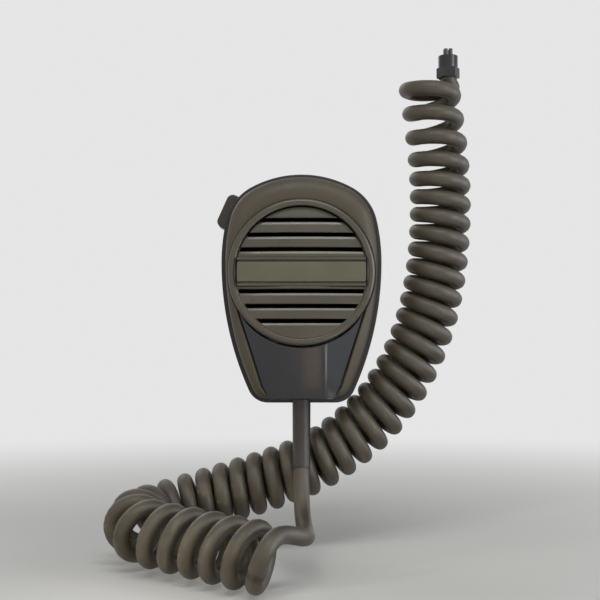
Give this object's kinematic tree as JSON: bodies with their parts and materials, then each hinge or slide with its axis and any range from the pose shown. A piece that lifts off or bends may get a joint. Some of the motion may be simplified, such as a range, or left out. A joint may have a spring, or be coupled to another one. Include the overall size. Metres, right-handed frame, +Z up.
{
  "type": "paging microphone",
  "caption": "Palm-held paging microphone with a slotted round grille, a press-to-talk button and a coiled cord, hung on a wall clip.",
  "frame": {"origin": "on the hanger's back face, where it lies on the wall, behind the centre of the grille", "axes": "+Y into the wall, +Z up along the microphone, +X to the right as seen from the front"},
  "size_m": [0.1445, 0.1039, 0.2055],
  "materials": {
    "plated_steel": "bright zinc plate",
    "case_grey": "fine matte texture, dark warm grey",
    "band_grey": "fine matte texture, warm grey",
    "cap_grey": "semi-gloss warm grey",
    "plate_olive": "satin olive grey, bare",
    "chin_slate": "gloss blue-grey",
    "cloth": "black woven",
    "foam": "open-cell foam",
    "black_moulding": "black",
    "boot_rubber": "matte",
    "can_aluminium": "satin",
    "diaphragm_film": "clear film",
    "copper": "bare or tinned copper",
    "magnet_grey": "ground",
    "iron": "plain",
    "board_green": "glass-epoxy laminate",
    "component": "moulded",
    "button_grey": "matte texture, dark warm grey",
    "cord_jacket": "satin dark grey",
    "wire_red": "insulation",
    "wire_white": "insulation",
    "wire_black": "insulation",
    "wire_green": "insulation",
    "nickel": "bright nickel"
  },
  "bodies": {
    "hanger": {"hanger": "plated_steel", "cord_coil": "cord_jacket", "cord_tail": "cord_jacket", "cord_ferrule": "nickel", "conductor_ends": "copper"},
    "microphone": {"rear_case": "case_grey", "front_case": "band_grey", "grille_cap": "cap_grey", "nameplate": "plate_olive", "chin_panel": "chin_slate", "grille_cloth": "cloth", "foam_pad": "foam", "baffle": "black_moulding", "cartridge_boot": "boot_rubber", "cartridge_case": "can_aluminium", "cartridge_cover": "can_aluminium", "cartridge_spacer": "black_moulding", "cartridge_terminals": "copper", "diaphragm": "diaphragm_film", "voice_coil": "copper", "magnet": "magnet_grey", "magnet_yoke": "iron", "pole_piece": "iron", "cartridge_wires": "wire_black", "ptt_spring": "plated_steel", "switch_body": "black_moulding", "switch_terminals": "copper", "switch_bracket": "plated_steel", "bracket_screws": "plated_steel", "circuit_board": "board_green", "board_capacitors": "component", "board_resistors": "component", "board_transistor": "black_moulding", "board_screws": "plated_steel", "case_screws": "plated_steel", "hang_button": "nickel", "hang_button_screw": "plated_steel", "hang_button_nut": "plated_steel", "strain_relief": "cord_jacket", "cord_inlet": "cord_jacket", "cord_clamp": "plated_steel", "clamp_screws": "plated_steel", "lead_wire_red": "wire_red", "lead_wire_white": "wire_white", "lead_wire_black": "wire_black", "lead_wire_green": "wire_green", "cord_lead": "cord_jacket"},
    "ptt_button": {"ptt_button": "button_grey"},
    "switch_plunger": {"switch_plunger": "component"}
  },
  "joints": [
    {"name": "lift_off", "type": "slide", "parent": "hanger", "child": "microphone", "axis": [0, 0, 1], "range_m": [0, 0.012]},
    {"name": "ptt_press", "type": "slide", "parent": "microphone", "child": "ptt_button", "axis": [0.9135, 0, -0.4067], "range_m": [0, 0.002], "stiffness_N_per_m": 400, "springref_m": -0.001, "deforming": ["ptt_spring"]},
    {"name": "plunger_press", "type": "slide", "parent": "microphone", "child": "switch_plunger", "axis": [0.9135, 0, -0.4067], "range_m": [0, 0.002]}
  ],
  "couplings": [
    {"joint": "plunger_press", "follows": "ptt_press", "ratio": 1}
  ]
}
